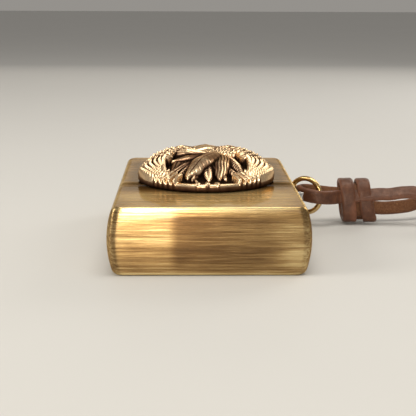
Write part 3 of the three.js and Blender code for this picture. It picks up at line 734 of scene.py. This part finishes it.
class Relief:
    """A height map, in millimetres above the disc's back, that feathers and leaves are raised on."""

    def __init__(self):
        radius = np.hypot(GRID_X, GRID_Y)
        inner = MEDAL_RADIUS - RIM_WIDTH
        middle = inner + RIM_WIDTH / 2
        field = 0.6 + 1.8 * np.clip(1 - (radius / (inner - 0.8)) ** 2, 0, 1)
        rim = RIM_TOP - medal_low[2] - 0.4 * np.abs((radius - middle) / (RIM_WIDTH / 2)) ** 4
        self.height = np.where(radius < inner, field, rim)

    def raise_strip(self, u, v, length, width, levels, dome, texture, point=0.0):
        """Raises a strip: u runs along it, v across it, and levels are its heights from root to tip."""
        t = np.clip(u / length, 0, 1)
        end = np.clip((u - (length - 1.3 * width)) / (1.3 * width), 0, 1)
        start = np.clip(1 - u / (1.2 * width), 0, 1)
        half = width * np.sqrt(np.clip(1 - end ** 2, 0, 1)) * np.sqrt(np.clip(1 - 0.75 * start ** 2, 0, 1))
        half = half * (1 - point * t ** 1.5)
        share = np.abs(v) / np.maximum(half, 0.001)
        inside = (u > 0) & (u < length) & (share < 1)
        share = np.clip(share, 0, 1)
        level = np.interp(t, np.linspace(0, 1, len(levels)), levels)
        height = level + dome * np.sqrt(1 - share ** 2)
        if texture == "barbs":
            height = height + 0.15 * np.sin(2 * math.pi * (u - 0.9 * np.abs(v)) / 0.72) * (1 - share ** 4)
            height = height - 0.12 * np.exp(-(v / 0.12) ** 2)
        if texture == "shaft":
            height = height + 0.20 * np.sin(2 * math.pi * (u - 1.1 * np.abs(v)) / 0.86) * (1 - share ** 4)
            height = height + 0.12 * np.exp(-(v / 0.12) ** 2)
        if texture == "hair":
            height = height + 0.10 * np.sin(2 * math.pi * v / 0.62 + 0.9 * np.sin(u / 0.8))
        if texture == "vein":
            height = height - 0.20 * np.exp(-(v / 0.14) ** 2)
            height = height - 0.06 * np.maximum(0, np.sin(2 * math.pi * (u - 0.8 * np.abs(v)) / 1.5)) ** 6
        self.height = np.where(inside, np.maximum(self.height, height), self.height)

    def leaf(self, x, y, degrees, length, width, levels, dome, texture=None, bend=0.0, point=0.55):
        angle = math.radians(degrees)
        u = (GRID_X - x) * math.cos(angle) + (GRID_Y - y) * math.sin(angle)
        v = (GRID_Y - y) * math.cos(angle) - (GRID_X - x) * math.sin(angle)
        bent = v - bend * (u / length) ** 2 * length
        self.raise_strip(u, bent, length, width, levels, dome, texture, point)

    def plume(self, side, start, end, inner, outer, width, levels, dome, texture):
        """A feather that follows the ring on one side. Its angles are turned from the back, in degrees."""
        turn = np.degrees(np.arctan2(side * GRID_X, GRID_Y))
        t = (turn - start) / (end - start)
        middle = inner + (outer - inner) * np.clip(t, 0, 1.2) ** 3.2
        length = math.radians(end - start) * (inner + outer) / 2
        self.raise_strip(t * length, np.hypot(GRID_X, GRID_Y) - middle, length, width, levels, dome, texture)


def make_relief():
    relief = Relief()
    for side in (-1, 1):
        # Long flight feathers run from the side towards the front, inside one another.
        for i in range(6):
            relief.plume(side, 84 - 3 * i, 146 - 2.6 * i, 13.75 - 1.0 * i, 13.0 - 0.25 * i, 0.50,
                         (2.6 + 0.36 * i, 2.3 + 0.42 * i, 1.9 + 0.30 * i), 0.60, "shaft")
        # Five short tips on each side fold over the ring at the front.
        for i in range(5):
            turn = math.radians(151.5 - 5.2 * i)
            x, y = side * 10.9 * math.sin(turn), 10.9 * math.cos(turn)
            outward = math.degrees(math.atan2(y - 1.2, x))
            relief.leaf(x, y, outward, 3.55, 0.44, (2.6 + 0.2 * i, 2.4, 1.75), 0.55, None, 0.03 * side, 0.15)
        # Rows of short feathers cover their roots like roof tiles, higher towards the middle.
        for row in range(5):
            radius = 13.2 - 1.3 * row
            step = math.degrees(1.55 / radius)
            start = 104 - 3 * row + (row % 2) * step / 2
            while start > 10:
                level = min(5.3, 1.5 + 0.55 * row + 2.2 * math.exp(-((start - 56) / 36) ** 2))
                relief.plume(side, start - math.degrees(2.9 / radius), start, radius, radius + 0.15, 0.84,
                             (level - 0.15, level, level + 0.42), 0.36, "barbs")
                start -= step
    # Leaves gathered in the middle: the low ones first, then the ones that lie on them.
    for i in range(9):
        relief.leaf(0, 1.5, -160 + 17.5 * i, 11.6, 1.6, (3.4, 2.7, 0.9), 1.0, ("barbs", "hair")[i % 2], 0.04)
    leaves = [
        (-1.2, 10.6, 172, 8.4, 1.5, (3.9, 4.5, 3.7), 1.1, "hair", 0.12),
        (1.2, 10.6, 6, 8.6, 1.5, (3.9, 4.5, 3.7), 1.1, "hair", -0.12),
        (4.4, 2.2, -66, 9.6, 1.75, (3.4, 2.6, 0.9), 1.2, "barbs", -0.10),
        (3.4, 2.6, -92, 12.0, 2.2, (3.9, 3.2, 0.9), 1.2, "hair", -0.03),
        (2.2, 3.4, -119, 14.0, 3.0, (4.0, 3.6, 1.0), 1.5, "vein", 0.04),
        (-4.6, 3.6, -112, 9.8, 1.5, (3.3, 2.8, 1.0), 1.1, "vein", 0.12),
        (-6.6, 4.4, -122, 7.8, 1.35, (3.0, 2.6, 1.4), 1.0, "barbs", 0.10),
        (7.0, 4.2, -64, 8.2, 1.4, (3.0, 2.6, 1.4), 1.0, "vein", -0.14),
        (-1.0, 2.8, -158, 7.2, 1.8, (3.7, 3.5, 2.7), 1.3, None, 0.10),
        (-8.8, 5.0, -6, 9.6, 1.9, (3.8, 4.6, 4.0), 1.3, "hair", -0.10),
        (9.0, 5.6, 186, 9.4, 1.9, (3.8, 4.6, 4.0), 1.3, "barbs", 0.10),
        (-8.6, 8.0, 8, 8.0, 1.6, (4.0, 4.7, 4.3), 1.2, "vein", -0.06),
        (8.8, 8.2, 170, 7.6, 1.6, (4.0, 4.7, 4.3), 1.2, "barbs", 0.06),
        (-3.4, 8.2, 2, 7.2, 2.0, (4.1, 4.7, 4.2), 1.35, None, 0.06),
        (3.2, 10.0, 172, 6.6, 1.5, (4.2, 4.8, 4.2), 1.2, "vein", 0.06),
    ]
    for x, y, degrees, length, width, levels, dome, texture, bend in leaves:
        relief.leaf(x, y, degrees, length, width, levels, dome, texture, bend)
    for x, y, degrees, length in ((-5.6, -3.6, -62, 7.4), (-6.8, -4.6, -80, 5.6), (6.6, -4.0, -104, 6.8)):
        relief.leaf(x, y, degrees, length, 0.34, (2.3, 1.9, 1.2), 0.35, None, 0.03, 0.1)
    # Three short lobes tie the ring at the front.
    for turn, reach, lift in ((-8.0, 0.0, 0.0), (8.0, 0.0, 0.0), (0, 0.2, 0.1)):
        x, y = 12.3 * math.sin(math.radians(turn)), -12.3 * math.cos(math.radians(turn))
        levels = (1.1 + lift, 1.3 + lift, 1.05 + lift)
        relief.leaf(x, y, -90 + 1.8 * turn, 2.05 + reach, 0.62, levels, 0.62, None, 0.0, 0.2)
    # The relief slopes down towards the ring, except at the front, where the tips fold over it.
    slope = smooth_step(12.2, MEDAL_RADIUS, np.hypot(GRID_X, GRID_Y))
    rear = 1 - smooth_step(85, 115, np.degrees(np.arctan2(np.abs(GRID_X), GRID_Y)))
    rim = RIM_TOP - medal_low[2]
    return rim + (relief.height - rim) * (1 - 0.35 * slope * rear * (relief.height > rim))


def sample(grid, x, y):
    """The grid's value at points, mixed between its cells."""
    u = np.clip((x + SPAN) / CELL, 0, len(AXIS) - 1.001)
    v = np.clip((y + SPAN) / CELL, 0, len(AXIS) - 1.001)
    i, j = u.astype(int), v.astype(int)
    a, b = u - i, v - j
    return (grid[i, j] * (1 - a) * (1 - b) + grid[i + 1, j] * a * (1 - b)
            + grid[i, j + 1] * (1 - a) * b + grid[i + 1, j + 1] * a * b)


def make_medallion():
    height = blur(make_relief(), 0.055)
    around, across = 900, 165
    angles = np.linspace(0, 2 * math.pi, around, endpoint=False)
    rings, patina_and_shade = [], []
    detail = height - blur(height, 0.35)
    # Painted shade and highlight: broad valleys darker, big raised shapes lighter.
    painted_form_shading = height - blur(height, 1.5)
    outer = MEDAL_RADIUS - 0.12
    for radius in np.r_[0.05, np.linspace(0.3, outer - 0.22, across), outer - 0.1, outer - 0.03]:
        x, y = radius * np.cos(angles), radius * np.sin(angles)
        level = sample(height, x, y)
        level = level - 0.2 * np.clip((radius - outer + 0.3) / 0.3, 0, 1) ** 2
        rings.append(np.stack([MEDAL_X + x, MEDAL_Y + y, medal_low[2] + level], 1))
        patina_and_shade.append(np.clip(0.37 + 3.3 * sample(detail, x, y) + 0.66 * sample(painted_form_shading, x, y), 0, 1))
    top = rings[-1][:, 2]
    base = medal_low[2]
    # Painted shade: the edge wall's value falls towards its foot, where the disc meets the face.
    wall = ((0.2, outer, 0.5), (0.5, outer, 0.38), (0.8, outer - 0.02, 0.25), (1.0, outer - 0.2, 0.1))
    for share, reach, high in wall:
        reach = reach + 0.22 * np.clip(top - RIM_TOP + 0.3, 0, 0.8) * (1 - share)
        x, y = reach * np.cos(angles), reach * np.sin(angles)
        rings.append(np.stack([MEDAL_X + x, MEDAL_Y + y, top + (base - top) * share], 1))
        patina_and_shade.append(np.full(around, high))
    verts, faces = loft(rings)
    medal = new_object("medallion_relief", verts, faces, MATERIALS["bronze"], 80)
    set_attribute(medal.data, "high", np.concatenate(patina_and_shade))
    return place(medal, "case", "bronze", "medallion")


make_medallion()

# ------------------------------------------------------------------ ring and loop
def circle_section(radius, sides):
    angles = np.linspace(0, 2 * math.pi, sides, endpoint=False)
    return np.stack([radius * np.cos(angles), radius * np.sin(angles)], 1)


def make_ring():
    """A round wire ring, cut and butted on its hidden side."""
    low, high = box_mm("lanyard_ring")
    centre = (low + high) / 2
    wire = 0.575
    turn = math.radians(-37)
    radius = (high[2] - low[2]) / 2 - wire
    out = np.array([math.cos(turn), math.sin(turn), 0])
    up = np.array([0, 0, 1.0])
    side = np.cross(out, up)
    rings = []
    half_gap = math.radians(0.9)
    section = circle_section(1.0, 18)
    for angle in np.linspace(math.pi + half_gap, 3 * math.pi - half_gap, 97):
        radial = out * math.cos(angle) + up * math.sin(angle)
        rings.append([centre + radial * (radius + wire * a) + side * wire * b for a, b in section])
    verts, faces = loft(rings)
    ring = new_object("ring_wire", verts, faces, MATERIALS["plain_brass"])
    return place(ring, "lanyard", "plain_brass", "lanyard_ring")


make_ring()


def refined(node, name, body, slot, bevel=0.0, segments=2, sharp_degrees=35):
    """A copy of a CAD node with its flat faces joined and its edges eased."""
    mesh = frame["nodes"][node].data.copy()
    mesh.materials.clear()
    mesh.materials.append(MATERIALS[slot])
    obj = bpy.data.objects.new(name, mesh)
    scene.collection.objects.link(obj)
    work = bmesh.new()
    work.from_mesh(mesh)
    bmesh.ops.remove_doubles(work, verts=work.verts, dist=0.000002)
    bmesh.ops.dissolve_limit(work, angle_limit=math.radians(1), verts=work.verts, edges=work.edges)
    work.to_mesh(mesh)
    work.free()
    if bevel:
        with_modifier(obj, "BEVEL", width=bevel * MM, segments=segments, limit_method="ANGLE",
                      angle_limit=math.radians(32))
    shade_smooth(obj.data, sharp_degrees)
    with_modifier(obj, "WEIGHTED_NORMAL", mode="FACE_AREA", weight=100, keep_sharp=True)
    return place(obj, body, slot, node)


for node, body, slot, bevel in (
        ("lanyard_loop", "case", "plain_brass", 0.08),
        ("hinge_case_leaf", "case", "nickel", 0.05), ("hinge_lid_leaf", "lid", "nickel", 0.05),
        ("hinge_pin", "case", "nickel", 0.04), ("windscreen", "case", "stainless_steel", 0.04),
        ("insert_shell", "case", "stainless_steel", 0.04), ("flint_wheel", "wheel", "dark_steel", 0.05),
        ("wheel_axle", "case", "stainless_steel", 0.04), ("cam_lever", "cam", "stainless_steel", 0.05),
        ("cam_pin", "case", "stainless_steel", 0.04)):
    refined(node, node + "_fine", body, slot, bevel)

def make_wick():
    """A braided cotton wick: eight strands wound both ways round a core along its winding line."""
    low, high = box_mm("wick")
    spacing = 0.25
    pitch = 5.5
    route = [(1.5, low[1]), (1.5, -12), (1.5, -5), (3, 1), (2.5, 7), (-0.5, 13), (0.5, 19), (2.5, high[1])]
    line = smooth_line([(x, y, MID_Z) for x, y in route], spacing)[1:-1]
    radius = (high[2] - low[2]) / 2
    tangents = np.gradient(line, axis=0)
    tangents /= np.linalg.norm(tangents, axis=1)[:, None]
    sides = np.stack([tangents[:, 1], -tangents[:, 0], np.zeros(len(line))], 1)
    section = circle_section(radius * 0.44, 8)
    verts, faces = [], []
    for k in range(9):
        reach = radius * 0.51 if k < 8 else 0
        winding = 1 if k % 2 else -1
        angles = 2 * math.pi * (winding * np.arange(len(line)) * spacing / pitch + k / 8)
        out = np.cos(angles)[:, None] * sides + np.sin(angles)[:, None] * np.array([0, 0, 1.0])
        spots = line + out * (reach * (1 + 0.06 * np.sin(8 * angles)))[:, None]
        around = np.cross(out, tangents)
        rings = spots[:, None] + out[:, None] * section[:, :1] + around[:, None] * section[:, 1:]
        points, loops = loft(rings)
        offset = sum(map(len, verts))
        faces += [tuple(i + offset for i in face) for face in loops]
        verts.append(points)
    wick = new_object("wick_braid", np.vstack(verts), faces, MATERIALS["cotton"], 60)
    return place(wick, "case", "cotton", "wick")


make_wick()

for item in frame["record"]["subparts"]:
    node = frame["nodes"][item["node"]]
    node.data.materials.clear()
    node.data.materials.append(MATERIALS[item["material_slot"]])

# ------------------------------------------------------------------ floor and light
def make_floor():
    size = 3.0
    mesh = bpy.data.meshes.new("floor")
    corners = [(-size, -size, 0), (size, -size, 0), (size, size, 0), (-size, size, 0)]
    mesh.from_pydata(corners, [], [(0, 1, 2, 3)])
    floor = bpy.data.objects.new("floor", mesh)
    scene.collection.objects.link(floor)
    floor.location.z = -0.0001
    mesh.materials.append(pale_floor())


def softbox(name, at, target, size, power, colour=(1, 1, 1)):
    data = bpy.data.lights.new(name, "AREA")
    data.shape = "RECTANGLE"
    data.size, data.size_y = size
    data.energy = power
    data.color = colour
    light = bpy.data.objects.new(name, data)
    scene.collection.objects.link(light)
    turn = (Vector(target) - Vector(at)).to_track_quat("-Z", "Y").to_matrix().to_4x4()
    light.matrix_world = Matrix.Translation(Vector(at)) @ turn


def make_light():
    world = bpy.data.worlds.new("studio")
    world.use_nodes = True
    world.node_tree.nodes["Background"].inputs["Color"].default_value = (1.0, 0.95, 0.88, 1)
    world.node_tree.nodes["Background"].inputs["Strength"].default_value = 0.30
    scene.world = world
    softbox("overhead", (0.02, -0.05, 0.45), (0, 0, 0), (0.34, 0.22), 1.25, (1.0, 0.94, 0.84))
    softbox("front_left", (-0.0285, -0.36, 0.09), (-0.012, 0, 0.01), (0.036, 0.17), 0.36, (1.0, 0.93, 0.80))
    softbox("front", (0.0, -0.60, 0.15), (0, 0, 0.01), (0.34, 0.10), 0.35, (1.0, 0.94, 0.84))
    softbox("back", (0.0, 0.50, 0.14), (0, 0, 0.01), (0.50, 0.10), 0.16, (1.0, 0.92, 0.80))
    softbox("side_left", (-0.40, -0.10, 0.22), (0, 0, 0), (0.20, 0.25), 0.9, (1.0, 0.95, 0.86))
    softbox("back_right", (0.30, 0.30, 0.22), (0, 0, 0), (0.20, 0.20), 0.5, (1.0, 0.96, 0.90))


make_floor()
make_light()
scene.view_settings.view_transform = "Standard"
